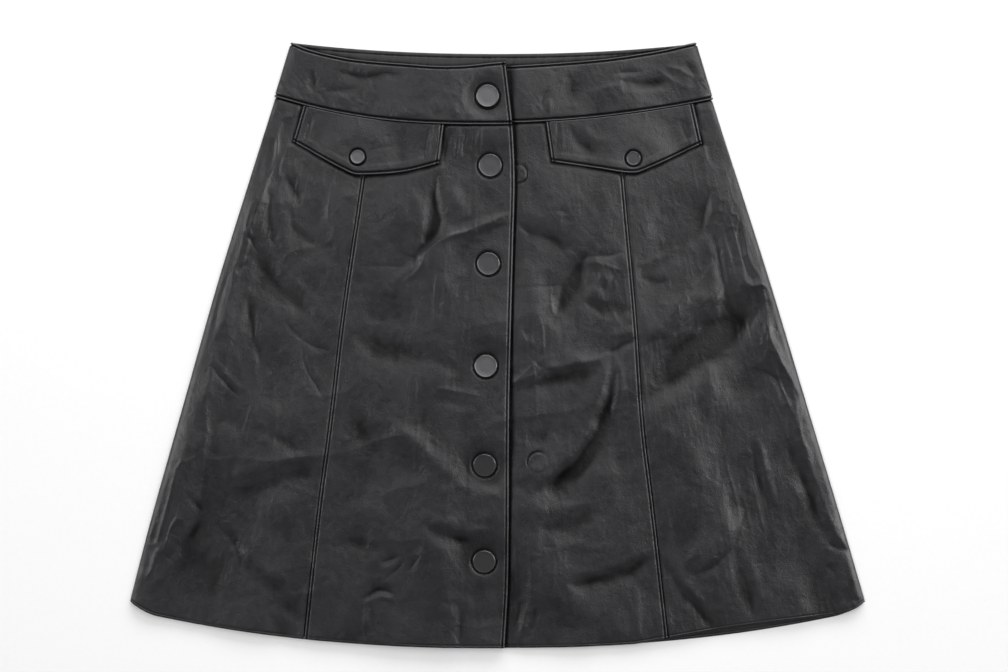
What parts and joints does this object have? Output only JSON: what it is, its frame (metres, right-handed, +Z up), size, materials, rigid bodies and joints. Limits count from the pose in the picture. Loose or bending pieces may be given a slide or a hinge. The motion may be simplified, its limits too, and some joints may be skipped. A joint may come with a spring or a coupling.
{
  "type": "leather a-line skirt",
  "caption": "Short A-line skirt in soft black leather, laid flat, snapped down the front, with a shaped waistband and pointed pocket flaps.",
  "frame": {"origin": "on the surface that the skirt lies on, under the middle of the skirt's box", "axes": "+X to the wearer's left across the hem, +Y from the hem to the waist, +Z up, out of the front of the skirt"},
  "size_m": [0.5873, 0.4836, 0.0128],
  "materials": {
    "black_leather": "soft black nappa leather, satin, fine grain and soft creases",
    "leather_facing": "black leather facing, a little duller than the outside",
    "snap_cap": "matte gunmetal snap cap, low dome",
    "snap_steel": "dark plated steel of the hidden sockets and studs"
  },
  "bodies": {
    "root": {"back_panel": "black_leather", "front_side_right": "black_leather", "front_centre_right": "black_leather", "front_centre_left": "black_leather", "front_side_left": "black_leather", "waistband_back": "black_leather", "waistband_back_facing": "leather_facing", "waistband_front_left": "black_leather", "waistband_front_right": "black_leather", "pocket_flap_right": "black_leather", "pocket_flap_left": "black_leather", "snap_1_stud": "snap_steel", "snap_1_socket": "snap_steel", "snap_1_cap": "snap_cap", "snap_2_stud": "snap_steel", "snap_2_socket": "snap_steel", "snap_2_cap": "snap_cap", "snap_3_stud": "snap_steel", "snap_3_socket": "snap_steel", "snap_3_cap": "snap_cap", "snap_4_stud": "snap_steel", "snap_4_socket": "snap_steel", "snap_4_cap": "snap_cap", "snap_5_stud": "snap_steel", "snap_5_socket": "snap_steel", "snap_5_cap": "snap_cap", "snap_6_stud": "snap_steel", "snap_6_socket": "snap_steel", "snap_6_cap": "snap_cap", "flap_snap_right_stud": "snap_steel", "flap_snap_right_socket": "snap_steel", "flap_snap_right_cap": "snap_cap", "flap_snap_left_stud": "snap_steel", "flap_snap_left_socket": "snap_steel", "flap_snap_left_cap": "snap_cap"}
  },
  "joints": []
}
